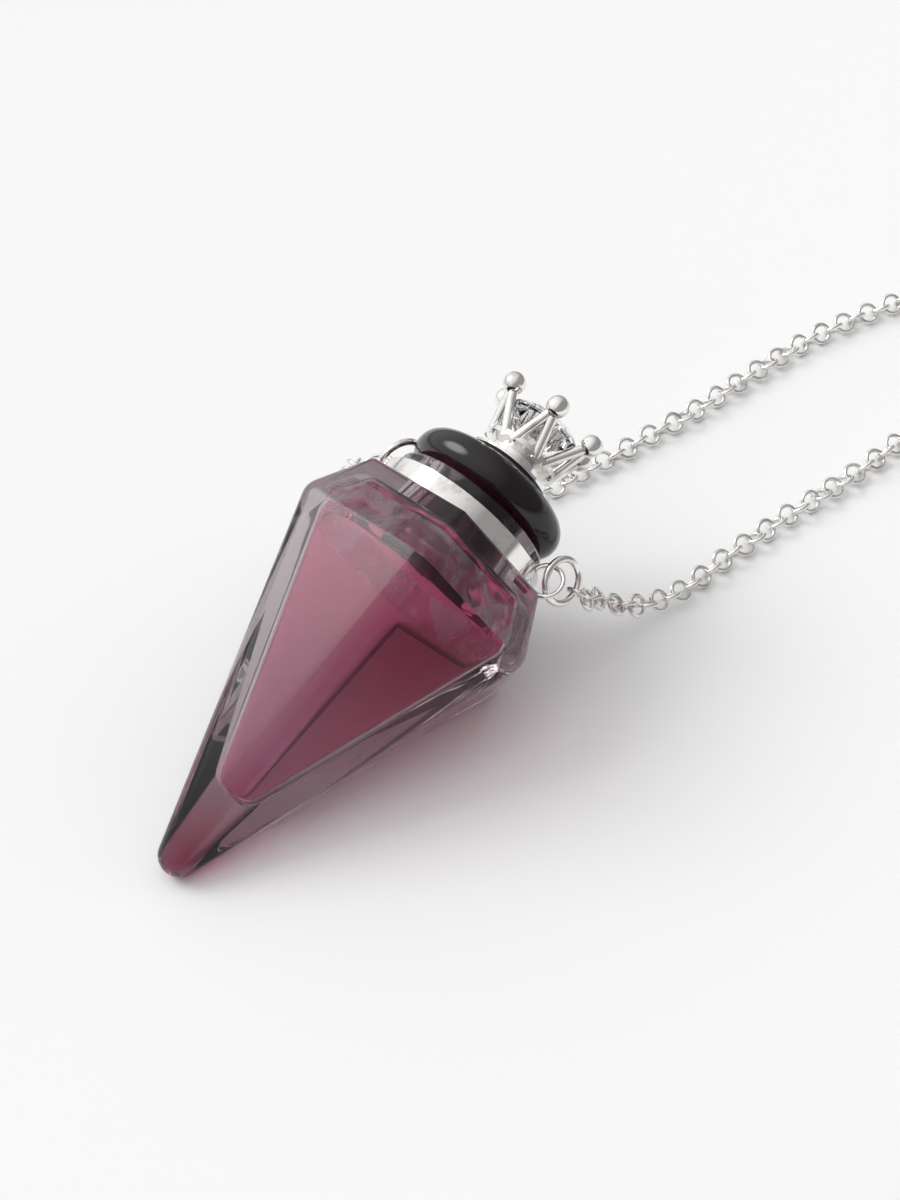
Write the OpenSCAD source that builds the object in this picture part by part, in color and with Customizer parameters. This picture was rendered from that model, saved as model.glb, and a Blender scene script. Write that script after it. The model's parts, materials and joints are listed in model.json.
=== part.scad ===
/* [Bottle] */
// Width across the flats at the shoulder
across_flats = 24; // [20:0.5:30]
// Distance along the axis from the tip's centre to the widest line
shoulder_t = 30.4; // [26:0.2:36]
// Radius of the rounded tip
tip_r = 1.92; // [1.6:0.02:2.4]
// Radius of the rounded edge round the shoulder
shoulder_edge_r = 2; // [1.2:0.1:2.6]
// Height of the sloping shoulder above the widest line
bevel_h = 6.1; // [5:0.1:8]
// Width of the flat top's ledge round the neck, before its edge is rounded
ledge = 0.9; // [0.6:0.05:1.4]
// Radius of the rounded edge round the flat top
top_edge_r = 0.8; // [0.4:0.1:1.2]
// Thickness of the glass wall at the shoulder
wall = 2.4; // [1.6:0.1:3.2]
// Solid glass below the hollow, measured from the tip's centre
solid_tip = 6.8; // [5:0.2:10]
// Radius of the hollow's rounded lower end
hollow_end_r = 1.9; // [1.2:0.1:2.6]
// Radius of the hollow's edges
hollow_edge_r = 1.2; // [0.6:0.1:1.8]

/* [Neck] */
// Outer radius of the glass neck
neck_r = 7.85; // [7:0.05:8]
// Height of the neck above the flat top
neck_h = 3.25; // [2.8:0.05:5]
// Radius of the true bore down the neck
bore_r = 4.5; // [3.5:0.1:5]
// Bevel on the neck's rim
rim_bevel = 0.3; // [0.1:0.05:0.5]

/* [Collar] */
// Wall thickness of the collar band
collar_wall = 0.55; // [0.4:0.05:1]
// Height of the collar band
collar_h = 1.8; // [1.4:0.1:2.4]
// Clearance between the collar and the glass
collar_gap = 0.1; // [0.05:0.01:0.2]
// Radius of each loop, to the middle of its wire
loop_r = 1.5; // [1.4:0.05:1.7]
// Wire diameter of each loop
loop_wire = 0.45; // [0.35:0.05:0.5]
// Angle of the near loop round the axis, from the resting facet
loop_angle = -82; // [-90:1:-76]

/* [Jump rings] */
// Outer diameter of a jump ring
jump_d = 4.6; // [4.2:0.1:5.2]
// Wire diameter of a jump ring
jump_wire = 0.65; // [0.5:0.05:0.75]

/* [Stopper] */
// Clearance round the stopper's post in the bore
plug_gap = 0.08; // [0.03:0.01:0.1]
// Length of the stopper's post
plug_len = 6.5; // [4:0.1:8]
// Overhang of the stopper's disc beyond the neck
disc_over = 0; // [-0.5:0.05:0.6]
// Thickness of the stopper's disc
disc_h = 3.6; // [2.8:0.1:4.4]
// Gap between the disc and the neck's rim
disc_gap = 0.25; // [0.15:0.05:0.5]
// Gap between pieces that sit on one another
seat_gap = 0.05; // [0.02:0.01:0.1]

/* [Crown] */
// Radius of the crown's flange
flange_r = 4.25; // [3.8:0.05:5]
// Height of the crown's stepped base
crown_base_h = 2.7; // [2.2:0.1:3.4]
// Radius of the ring that carries the points
gallery_r = 3.3; // [2.9:0.05:3.8]
// Number of points
points = 6; // [5:1:8]
// Radius of the circle through the balls
ball_ring_r = 5.1; // [4.6:0.05:5.8]
// Height of the balls above the disc
ball_t = 7.05; // [6:0.05:8]
// Radius of each ball
ball_r = 1.05; // [0.8:0.05:1.2]
// Wire diameter of the points' legs
leg_d = 0.95; // [0.7:0.05:1.1]
// Half the angle between the feet of one point
leg_spread = 22; // [16:1:25]

/* [Stone] */
// Clearance between the stone's girdle and the legs
stone_gap = 0.2; // [0.1:0.05:0.4]
// Height of the girdle above the disc
girdle_t = 6.05; // [5.5:0.05:6.6]
// Thickness of the girdle
girdle_h = 0.2; // [0.1:0.05:0.4]
// Height of the stone above its girdle
stone_top = 1.25; // [0.9:0.05:1.5]
// Depth of the stone below its girdle
stone_depth = 2.9; // [2.2:0.1:3.1]
// Width of the table as a share of the girdle's width
table_share = 0.56; // [0.5:0.01:0.65]

/* [Chain] */
// Outer width of the chain
chain_d = 1.5; // [1.2:0.1:1.8]
// Gap between the chain and what it hangs from
chain_gap = 0.3; // [0.2:0.05:0.5]
// Straight length of the chain next to each jump ring
chain_lead = 0.9; // [0.6:0.1:1.2]
// Radius of the hidden round stretch of the chain
hidden_r = 50; // [45:1:60]
// Length of the clasp
clasp_len = 9; // [7:0.5:12]
// Diameter of the clasp
clasp_d = 3; // [2.5:0.1:4]

/* [Hidden] */
curve_fn = 64;
fine_fn = 32;
sides = 6;
half_corner = 180 / sides;
slice = 0.01;
overcut = 1;
edge_steps = 6;
up = [0, 0, 1];

// A point on the bottle's axis and radius is written [radius, height]
function between(a, b, share) = a + (b - a) * share;
function bend(dr, dt, r_low, r_high) = atan2(dt, dr) - acos((r_low - r_high) / norm([dr, dt]));

// The resting facet touches the tip's ball and the shoulder's rounded edge
edge_apothem = across_flats / 2 - shoulder_edge_r;
tilt = -bend(edge_apothem, shoulder_t, tip_r, shoulder_edge_r);
facet_len = sqrt(pow(edge_apothem, 2) + pow(shoulder_t, 2) - pow(tip_r - shoulder_edge_r, 2));
tip_place = [-facet_len / 2, 0, tip_r];
axis = [cos(tilt), 0, sin(tilt)];
down = [sin(tilt), 0, -cos(tilt)];
side = [0, 1, 0];

top_t = shoulder_t + bevel_h;
top_apothem = neck_r + ledge;
hollow_tip_t = solid_tip + hollow_end_r;
hollow_apothem = across_flats / 2 - wall - hollow_edge_r;
hollow_top_t = top_t - wall * 0.8;
hollow_top_apothem = top_apothem - wall / 2 - hollow_edge_r / 2;
rim_t = top_t + neck_h;
bore_floor_t = hollow_top_t - 2 * hollow_edge_r;

collar_in_r = neck_r + collar_gap;
collar_r = collar_in_r + collar_wall;
collar_t = top_t + collar_gap;
loop_place_r = collar_in_r + collar_wall / 2 + loop_r;
loop_t = collar_t + collar_h - loop_wire / 2;

jump_mean_r = (jump_d - jump_wire) / 2;
left_angle = loop_angle + 180;

// A jump ring's centre from its loop's centre, the way its plane faces and the way its chain leaves it
right_reach = [0.697, -0.296, -0.349];
right_turn = [-0.043, -0.935, 0.353];
right_pull = [0.485, -0.328, -0.81];
left_reach = [1.052, -0.301, 0.238];
left_turn = [-0.299, -0.925, -0.236];
left_pull = [-0.6, 0.364, -0.664];

disc_r = neck_r + disc_over;
disc_t = rim_t + disc_gap;
disc_edge = disc_h / 2;
plug_r = bore_r - plug_gap;
crown_t = disc_t + disc_h + seat_gap;
ball_place_t = disc_t + disc_h + ball_t;
gallery_t = crown_t + crown_base_h;
girdle_place_t = disc_t + disc_h + girdle_t;
leg_r_at_girdle = between(gallery_r, ball_ring_r, (girdle_place_t - gallery_t) / (ball_place_t - gallery_t));
stone_r = leg_r_at_girdle - leg_d / 2 - stone_gap;

function radial(angle) = cos(angle) * down + sin(angle) * side;
function on_bottle(t, r, angle) = tip_place + t * axis + r * radial(angle);
function ring_centre(angle, reach) = on_bottle(loop_t, loop_place_r, angle) + jump_mean_r * reach;
right_centre = ring_centre(loop_angle, right_reach);
left_centre = ring_centre(left_angle, left_reach) + disc_over * radial(left_angle);
first_link = jump_d / 2 + chain_gap;
function leave(centre, pull) = [for (reach = [first_link, first_link + chain_lead]) centre + reach * pull];

// The chain's route over the table: the stretch in sight, then the plain way round
lie = chain_d / 2;
right_route = concat(leave(right_centre, right_pull), [[26.4, -10.7, 6.7], [28.4, -11.2, 4.6],
    [31, -11.7, 2.9], [33.9, -12.1, 1.8], [37, -12.3, 1.1], [40.2, -12.4, lie], [43.5, -12.6, lie],
    [46.5, -13, lie], [49.6, -13.3, lie], [52.5, -13.8, lie], [55.6, -14.3, lie], [58.4, -14.7, lie],
    [61.4, -15.1, lie], [64.3, -15.3, lie], [69.4, -15.7, lie], [74, -17.6, lie], [76.6, -21.6, lie],
    [76.8, -26.6, lie], [76, -32, lie]]);
left_route = concat(leave(left_centre, left_pull), [[20.7, 13.7, 12.8], [21.6, 15.4, 9.5],
    [23.4, 16.1, 6], [26, 15.7, 3.2], [28.9, 14.3, 1.5], [31.9, 12.3, lie], [35.4, 9.5, lie],
    [38.7, 6.7, lie], [41.9, 6, lie], [44.8, 5.3, lie], [46.9, 4.7, lie], [49.9, 4.3, lie],
    [55.6, 3.1, lie], [60.8, 2.5, lie], [65.8, 1.9, lie], [71.7, 1, lie], [77.2, -0.4, lie],
    [82.5, -2.3, lie], [88, -4, lie], [94, -5.3, lie], [100, -5.3, lie]]);
hidden_centre = [124, -50, lie];
hidden_start = 164;
hidden_end = 110;
clasp_angle = -44;
clasp_half_angle = (clasp_len / 2 + chain_gap) / hidden_r * 180 / PI;
hidden_steps = 20;
function on_loop(angle) = hidden_centre + hidden_r * [cos(angle), sin(angle), 0];
function arc_route(from, to) = [for (i = [0:hidden_steps]) on_loop(between(from, to, i / hidden_steps))];
right_path = concat(right_route, arc_route(hidden_start, 360 + clasp_angle - clasp_half_angle));
left_path = concat(left_route, arc_route(hidden_end, clasp_angle + clasp_half_angle));

// Rings of points along a route, joined into one closed tube
function unit(v) = v / norm(v);
function heading(path, i) = unit(path[min(i + 1, len(path) - 1)] - path[max(i - 1, 0)]);
tube_sides = 8;
tube_r = chain_d / 2 / cos(180 / tube_sides);
function tube_ring(path, i) = let (h = heading(path, i), across = unit(cross(up, h)), over = cross(h, across))
    [for (k = [0:tube_sides - 1]) let (turn = (k + 0.5) * 360 / tube_sides)
        path[i] + tube_r * (cos(turn) * across + sin(turn) * over)];
module tube(path) {
    rings = [for (i = [0:len(path) - 1]) each tube_ring(path, i)];
    walls = [for (i = [1:len(path) - 1], k = [0:tube_sides - 1])
        let (a = i * tube_sides + k, b = i * tube_sides + (k + 1) % tube_sides)
        each [[a - tube_sides, b - tube_sides, b], [a - tube_sides, b, a]]];
    first = [for (k = [0:tube_sides - 1]) tube_sides - 1 - k];
    last = [for (k = [0:tube_sides - 1]) (len(path) - 1) * tube_sides + k];
    polyhedron(rings, concat([first, last], walls));
}

module lying() {
    translate(tip_place) rotate([0, 90 - tilt, 0]) children();
}

module round_slice(t, r) {
    translate([0, 0, t]) cylinder(r = max(r, slice), h = slice, $fn = 48);
}

module hex_slice(t, apothem, r) {
    translate([0, 0, t]) linear_extrude(slice) offset(r = r, $fn = fine_fn)
        rotate(half_corner) circle(r = apothem / cos(half_corner), $fn = sides);
}

// A six-sided pendulum: round end below, rounded shoulder, sloping top with a rounded edge
module pendulum(end_t, end_r, wide_t, wide_apothem, edge_r, high_t, high_apothem, high_r) {
    flank = bend(wide_apothem, wide_t - end_t, end_r, edge_r);
    slope = bend(high_apothem - wide_apothem, high_t - high_r - wide_t, edge_r, high_r);
    hull() {
        for (i = [0:edge_steps]) let (turn = between(-90, flank, i / edge_steps))
            round_slice(end_t + end_r * sin(turn), end_r * cos(turn));
        for (i = [0:edge_steps]) let (turn = between(flank, slope, i / edge_steps))
            hex_slice(wide_t + edge_r * sin(turn), wide_apothem, edge_r * cos(turn));
        for (i = [0:edge_steps - 1]) let (turn = between(slope, 90, i / edge_steps))
            hex_slice(high_t - high_r + high_r * sin(turn), high_apothem, high_r * cos(turn));
        hex_slice(high_t - slice, high_apothem, slice);
    }
}

module glass_bottle() {
    color([0.42, 0.16, 0.3, 0.6]) lying() difference() {
        union() {
            pendulum(0, tip_r, shoulder_t, edge_apothem, shoulder_edge_r, top_t, top_apothem, top_edge_r);
            translate([0, 0, bore_floor_t]) cylinder(r = neck_r, h = rim_t - rim_bevel - bore_floor_t, $fn = curve_fn);
            translate([0, 0, rim_t - rim_bevel])
                cylinder(r1 = neck_r, r2 = neck_r - rim_bevel, h = rim_bevel, $fn = curve_fn);
        }
        pendulum(hollow_tip_t, hollow_end_r, shoulder_t, hollow_apothem, hollow_edge_r,
            hollow_top_t, hollow_top_apothem, hollow_edge_r);
        translate([0, 0, bore_floor_t]) cylinder(r = bore_r, h = rim_t - bore_floor_t + overcut, $fn = curve_fn);
    }
}

module neck_collar() {
    color("silver") lying() difference() {
        union() {
            translate([0, 0, collar_t]) cylinder(r = collar_r, h = collar_h, $fn = curve_fn);
            for (angle = [loop_angle, left_angle])
                rotate(angle) translate([loop_place_r, 0, loop_t]) rotate([90, 0, 0])
                    rotate_extrude($fn = fine_fn) translate([loop_r, 0]) circle(d = loop_wire, $fn = fine_fn);
        }
        translate([0, 0, collar_t - overcut])
            cylinder(r = collar_in_r, h = collar_h + loop_r + overcut, $fn = curve_fn);
    }
}

module jump_ring(centre, turn) {
    color("silver") translate(centre)
        rotate([0, acos(turn[2] / norm(turn)), atan2(turn[1], turn[0])])
            rotate_extrude($fn = curve_fn) translate([jump_mean_r, 0]) circle(d = jump_wire, $fn = fine_fn);
}

module jump_ring_right() {
    jump_ring(right_centre, right_turn);
}

module jump_ring_left() {
    jump_ring(left_centre, left_turn);
}

module chain_right() {
    color("silver") tube(right_path);
}

module chain_left() {
    color("silver") tube(left_path);
}

module chain_clasp() {
    color("silver") translate(on_loop(clasp_angle) + (clasp_d - chain_d) / 2 * up) rotate([90, 0, clasp_angle])
        cylinder(d = clasp_d, h = clasp_len, center = true, $fn = fine_fn);
}

module stopper_plug() {
    color([0.2, 0.08, 0.16]) lying() translate([0, 0, disc_t - seat_gap - plug_len])
        cylinder(r = plug_r, h = plug_len, $fn = curve_fn);
}

module stopper_disc() {
    color([0.08, 0.03, 0.07]) lying() translate([0, 0, disc_t + disc_edge]) rotate_extrude($fn = curve_fn) {
        translate([0, -disc_edge]) square([disc_r - disc_edge, disc_h]);
        translate([disc_r - disc_edge, 0]) intersection() {
            circle(r = disc_edge, $fn = curve_fn);
            translate([0, -disc_edge]) square([disc_edge, disc_h]);
        }
    }
}

module rod(from, to, d) {
    way = to - from;
    translate(from) rotate([0, acos(way[2] / norm(way)), atan2(way[1], way[0])])
        cylinder(d = d, h = norm(way), $fn = 16);
}

// The base is a foot, a wider flange over it and the ring that carries the points
module crown_base() {
    foot_r = gallery_r - leg_d / 2;
    flange_h = crown_base_h * 0.18;
    flange_t = crown_base_h * 0.45;
    rotate_extrude($fn = curve_fn) polygon([[0, 0], [foot_r, 0], [foot_r, flange_t - flange_h],
        [flange_r - flange_h / 2, flange_t - flange_h], [flange_r, flange_t - flange_h / 2], [flange_r, flange_t],
        [foot_r, flange_t + flange_h], [foot_r, crown_base_h * 0.8], [gallery_r + leg_d / 2, crown_base_h],
        [gallery_r + leg_d / 2, crown_base_h + leg_d / 2], [gallery_r - leg_d / 2, crown_base_h + leg_d / 2],
        [gallery_r - leg_d, crown_base_h * 0.6], [0, crown_base_h * 0.6]]);
}

module crown() {
    color("silver") lying() {
        translate([0, 0, crown_t]) crown_base();
        for (k = [0:points - 1]) rotate((k + 0.5) * 360 / points) {
            top = [ball_ring_r, 0, ball_place_t];
            translate(top) sphere(r = ball_r, $fn = fine_fn);
            for (turn = [-leg_spread, leg_spread])
                rod([gallery_r * cos(turn), gallery_r * sin(turn), gallery_t], top, leg_d);
        }
    }
}

// Round brilliant: an eight-sided table, sixteen-sided girdle and pointed pavilion
module crown_stone() {
    star_r = stone_r * (1 + table_share) / 2;
    color([0.95, 0.97, 1, 0.7]) lying() translate([0, 0, girdle_place_t]) hull() {
        translate([0, 0, stone_top - slice]) cylinder(r = stone_r * table_share, h = slice, $fn = 8);
        rotate(22.5) translate([0, 0, stone_top * 0.6]) cylinder(r = star_r, h = slice, $fn = 8);
        cylinder(r = stone_r, h = girdle_h, $fn = 16);
        rotate(22.5) translate([0, 0, -stone_depth * 0.55]) cylinder(r = stone_r * 0.47, h = slice, $fn = 8);
        translate([0, 0, -stone_depth]) cylinder(r = slice, h = slice, $fn = 8);
    }
}

glass_bottle();
neck_collar();
jump_ring_right();
jump_ring_left();
chain_right();
chain_left();
chain_clasp();
stopper_plug();
stopper_disc();
crown();
crown_stone();
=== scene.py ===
"""Bottle pendant: a six-sided amethyst bottle with a crowned stopper, lying on its chain."""

import json
import math

import bmesh
import bpy
from bpy.props import FloatProperty, FloatVectorProperty, IntProperty, PointerProperty
from mathutils import Matrix, Vector


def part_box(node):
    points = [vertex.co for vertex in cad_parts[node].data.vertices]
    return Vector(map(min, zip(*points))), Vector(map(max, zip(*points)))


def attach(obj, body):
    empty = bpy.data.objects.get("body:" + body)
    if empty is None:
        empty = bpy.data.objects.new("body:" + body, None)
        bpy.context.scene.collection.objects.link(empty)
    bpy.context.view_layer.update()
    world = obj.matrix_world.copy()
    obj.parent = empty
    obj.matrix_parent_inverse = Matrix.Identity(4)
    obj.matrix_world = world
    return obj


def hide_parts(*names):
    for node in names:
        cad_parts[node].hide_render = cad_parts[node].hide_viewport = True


bl_info = {
    "name": "Bottle Pendant",
    "version": (1, 0, 0),
    "blender": (4, 5, 0),
    "location": "View3D > Sidebar > Pendant",
    "description": "Builds the glass, stone, chain and finishes of a bottle pendant",
    "category": "Object",
}

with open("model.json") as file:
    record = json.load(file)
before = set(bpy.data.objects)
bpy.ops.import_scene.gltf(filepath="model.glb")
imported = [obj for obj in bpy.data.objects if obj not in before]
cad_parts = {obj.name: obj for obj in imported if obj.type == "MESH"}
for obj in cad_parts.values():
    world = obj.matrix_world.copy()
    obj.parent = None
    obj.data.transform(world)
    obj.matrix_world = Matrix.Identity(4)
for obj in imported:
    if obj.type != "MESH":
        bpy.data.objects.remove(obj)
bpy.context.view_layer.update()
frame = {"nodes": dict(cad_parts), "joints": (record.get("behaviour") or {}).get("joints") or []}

# A millimetre. Sizes are in millimetres where nothing else is said, and go into Blender times this
MM = 0.001

# The bottle's sides, half the turn from one corner to the next, and the radius of its tip
SIDES = 6
HALF_CORNER = math.pi / SIDES
TIP_RADIUS = 1.92

# The bottle's axis is the way that its stopper draws. The other two ways are square to it, the
# first towards the surface
AXIS = Vector(frame["joints"][0]["axis"]).normalized()
DOWN = Vector((AXIS.z, 0, -AXIS.x))
SIDE = Vector((0, 1, 0))


def from_frame(node):
    """Lowest corner and middle of a CAD node, in millimetres."""
    low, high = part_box(node)
    return low / MM, (low + high) / 2 / MM


# The tip's ball touches the surface at the low end of the resting facet, so its middle is one
# radius above it
TIP = Vector((from_frame("glass_bottle")[0].x + TIP_RADIUS, 0, TIP_RADIUS))


def millimetres(value, name, description, high=400.0):
    """A length of the model, in millimetres."""
    return FloatProperty(name=name, description=description, default=value, min=0, max=high, precision=3)


def share(value, name, description):
    """A size that is a share of another one."""
    return FloatProperty(name=name, description=description, default=value, min=0, max=1, subtype="FACTOR")


def degrees(value, name, description):
    """An angle of the model, given in degrees and kept in radians."""
    return FloatProperty(name=name, description=description, default=math.radians(value), subtype="ANGLE")


def count(value, name, description, low):
    """A number of faces or sides."""
    return IntProperty(name=name, description=description, default=value, min=low)


def brightness(value, name, description, unit="NONE"):
    """Strength of a light."""
    return FloatProperty(name=name, description=description, default=value, min=0, unit=unit)


def colour(value, name, description):
    """A colour of a finish."""
    return FloatVectorProperty(
        name=name, description=description, default=value, size=3, min=0, max=1, subtype="COLOR"
    )


class BottleSizes(bpy.types.PropertyGroup):
    across_flats: millimetres(24, "Across flats", "Width of the bottle at its shoulder")
    shoulder: millimetres(30.4, "Shoulder", "Distance from the tip's centre to the widest line")
    tip_radius: millimetres(TIP_RADIUS, "Tip radius", "Radius of the rounded tip")
    edge_radius: millimetres(2, "Edge radius", "Radius of the shoulder's rounded edge")
    bevel_height: millimetres(6.1, "Bevel height", "Height of the sloping shoulder")
    ledge: millimetres(0.9, "Ledge", "Width of the flat top round the neck")
    top_edge_radius: millimetres(0.8, "Top edge radius", "Radius of the edge round the flat top")
    neck_radius: millimetres(7.85, "Neck radius", "Outer radius of the glass neck")
    neck_height: millimetres(3.25, "Neck height", "Height of the neck above the flat top")
    bore_radius: millimetres(4.5, "Bore radius", "Radius of the bore down the neck")
    rim_bevel: millimetres(0.3, "Rim bevel", "Bevel on the neck's rim")
    wall: millimetres(2.4, "Wall", "Thickness of the glass at the shoulder")
    solid_tip: millimetres(6.8, "Solid tip", "Solid glass below the hollow")
    hollow_end_radius: millimetres(1.9, "Hollow end", "Radius of the hollow's lower end")
    hollow_edge_radius: millimetres(1.2, "Hollow edge", "Radius of the hollow's edges")
    icy_height: millimetres(2.6, "Icy height", "Height of the icy band round the hollow's shoulder")
    edge_steps: count(7, "Edge steps", "Faces round each rounded edge", low=3)
    flat_steps: count(8, "Flat steps", "Faces across each flat, and up the sloping shoulder", low=2)
    flank_steps: count(24, "Flank steps", "Faces along each flank", low=2)


class StoneSizes(bpy.types.PropertyGroup):
    table_share: share(0.56, "Table", "Radius of the table, as a share of the girdle's")
    star_share: share(0.80, "Star", "Radius of the bezel corners, as a share of the girdle's")
    star_height: share(0.58, "Star height", "Height of the bezel corners, as a share of the crown's")
    lower_share: share(0.24, "Lower", "Radius of the pavilion's corners, as a share of the girdle's")
    girdle: millimetres(0.2, "Girdle", "Thickness of the girdle")


class ChainSizes(bpy.types.PropertyGroup):
    link_radius: millimetres(0.95, "Link radius", "Radius of a link, to the middle of its wire")
    wire: millimetres(0.43, "Wire", "Diameter of a link's wire")
    pitch: millimetres(1.46, "Pitch", "Distance from one link to the next")
    lie: millimetres(0.96, "Lie", "Height of the chain's middle over the surface")
    jump_radius: millimetres(1.975, "Jump ring radius", "Radius of a jump ring, to the middle of its wire")
    first_link: millimetres(0.4, "First link", "Distance from a jump ring's wire to the first link's middle")
    lead: millimetres(1.1, "Lead", "Straight length of the chain next to each jump ring")
    hidden_radius: millimetres(50, "Hidden radius", "Radius of the chain's hidden round stretch")
    clasp_half_angle: degrees(5.5, "Clasp angle", "Half the arc that the clasp takes")
    ring_sides: count(16, "Ring sides", "Sides of a link's ring", low=8)
    wire_sides: count(6, "Wire sides", "Sides of a link's wire", low=4)
    lean: degrees(40, "Lean", "How far each link leans, every second one the other way")
    play: degrees(16, "Play", "Largest random change of a link's lean")


class Finishes(bpy.types.PropertyGroup):
    clear: colour((0.38, 0.33, 0.355), "Clear glass", "Colour of the outer wall")
    blush: colour((0.30, 0.075, 0.13), "Blush", "Colour of the outer wall at the tip")
    amethyst: colour((0.95, 0.21, 0.39), "Amethyst", "Colour of the hollow's wall at the shoulder")
    rose: colour((1.0, 0.46, 0.66), "Rose", "Colour of the hollow's wall at its low end")
    deep_ice: colour((0.95, 0.32, 0.52), "Deep ice", "Colour of the icy wall between its bubbles")
    pale: colour((1.0, 0.98, 1.0), "Pale ice", "Colour of the icy wall's bubbles")
    dark: colour((0.006, 0.003, 0.005), "Dark glass", "Colour of the stopper's disc and post")
    silver: colour((0.90, 0.89, 0.87), "Silver", "Colour of the metal")
    tarnish: colour((0.52, 0.47, 0.44), "Tarnish", "Colour of the metal in its dull patches")
    stone: colour((0.96, 0.97, 1.0), "Stone", "Colour of the crown's stone")
    floor: colour((0.80, 0.80, 0.80), "Floor", "Colour of the surface round the pendant")
    # Painted shade: the surface is painted this dark far from the pendant, where the light is meant to fall
    # off
    painted_shade_floor: colour((0.18, 0.18, 0.18), "Far floor", "Colour of the surface far from the pendant")


class StageSettings(bpy.types.PropertyGroup):
    elevation: degrees(45.16, "Elevation", "Camera's height above the horizon")
    heading: degrees(46.58, "Heading", "Way that the camera looks, from +X")
    roll: degrees(5.03, "Roll", "Camera's roll")
    distance: millimetres(236.5, "Distance", "From the camera to the surface at the picture's middle")
    target_x: millimetres(22.26, "Target X", "Place of the picture's middle on the surface")
    target_y: millimetres(4.43, "Target Y", "Place of the picture's middle on the surface")
    focal_length: FloatProperty(name="Focal length", description="Lens, over a 36 mm high picture",
                                default=75.7, min=1, unit="CAMERA")
    floor_size: millimetres(4000, "Floor size", "Width of the surface", high=9000)
    # A pool of light painted on the surface round the pendant, fading to painted shade beyond it
    painted_pool_x: millimetres(50, "Pool X", "Middle of the brightest part of the surface")
    painted_pool_y: millimetres(40, "Pool Y", "Middle of the brightest part of the surface")
    painted_pool_radius: millimetres(106, "Pool radius", "Radius of the brightest part of the surface")
    room: colour((0.31, 0.30, 0.30), "Room", "Colour of the room away from its window")
    sky: brightness(1.0, "Sky", "Strength of the room's light")
    glow: brightness(6.0, "Glow", "Strength of the room's light at the window's middle")
    lamp_power: brightness(0.24, "Lamps", "Power that each lamp has its share of", unit="POWER")


class PendantSettings(bpy.types.PropertyGroup):
    bottle: PointerProperty(type=BottleSizes)
    stone: PointerProperty(type=StoneSizes)
    chain: PointerProperty(type=ChainSizes)
    finishes: PointerProperty(type=Finishes)
    stage: PointerProperty(type=StageSettings)


def settings(context):
    """All the settings of the scene."""
    return context.scene.pendant


# Shapes


def in_place(height, out, aside):
    """A point by its height along the bottle's axis and its two distances from it, in metres."""
    return (TIP + AXIS * height + DOWN * out + SIDE * aside) * MM


def facing(angle):
    """Unit vector at this angle round the bottle's axis."""
    return Vector((math.cos(angle), math.sin(angle)))


def tangent_turn(across, along, low_radius, high_radius):
    """Angle of the line that touches two circles, one `across` and `along` from the other."""
    reach = math.hypot(across, along)
    return math.atan2(along, across) - math.acos((low_radius - high_radius) / reach)


def between(a, b, part):
    """The value this part of the way from one to the other."""
    return a + (b - a) * part


def hex_ring(apothem, radius, steps, flats):
    """A hexagon with round corners: each corner's arc, then the points across the next flat. The
    apothem is that of the corners' centres."""
    corners = [
        facing(HALF_CORNER * (2 * k + 1)) * apothem / math.cos(HALF_CORNER) for k in range(SIDES)
    ]
    points = []
    for k, corner in enumerate(corners):
        points += [corner + facing(2 * HALF_CORNER * (k + i / steps)) * radius for i in range(steps + 1)]
        last = points[-1]
        first = corners[(k + 1) % SIDES] + facing(2 * HALF_CORNER * (k + 1)) * radius
        points += [last.lerp(first, i / flats) for i in range(1, flats)]
    return points


def round_ring(like, radius):
    """A circle whose points face the same ways as those of another ring."""
    return [p.normalized() * radius for p in like]


def arc_rows(centre, apothem, radius, first, last, steps):
    """Rows of a rounded edge from one angle to another, as (height, apothem, corner radius)."""
    turns = [between(first, last, i / steps) for i in range(steps + 1)]
    return [(centre + radius * math.sin(turn), apothem, radius * math.cos(turn)) for turn in turns]


def straight_rows(low, high, steps):
    """Rows of the straight stretch that joins two rows."""
    return [tuple(between(a, b, i / steps) for a, b in zip(low, high)) for i in range(1, steps)]


def pendulum_rings(end, end_radius, wide, wide_apothem, edge, high, high_apothem, high_edge, size):
    """Rings of a six-sided pendulum, from its round end up to its flat top."""
    flank = tangent_turn(wide_apothem, wide - end, end_radius, edge)
    slope = tangent_turn(high_apothem - wide_apothem, high - high_edge - wide, edge, high_edge)
    steps = size.edge_steps
    low = arc_rows(end, 0.0, end_radius, -math.pi / 2, flank, steps)
    shoulder = arc_rows(wide, wide_apothem, edge, flank, slope, steps)
    top = arc_rows(high - high_edge, high_apothem, high_edge, slope, math.pi / 2, steps)
    rows = low + straight_rows(low[-1], shoulder[0], size.flank_steps)
    rows += shoulder + straight_rows(shoulder[-1], top[0], size.flat_steps) + top
    return [(height, hex_ring(apothem, radius, steps, size.flat_steps)) for height, apothem, radius in rows]


# Glass between the hollow and the flat top, as a share of the wall
ROOF_SHARE = 0.8


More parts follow.
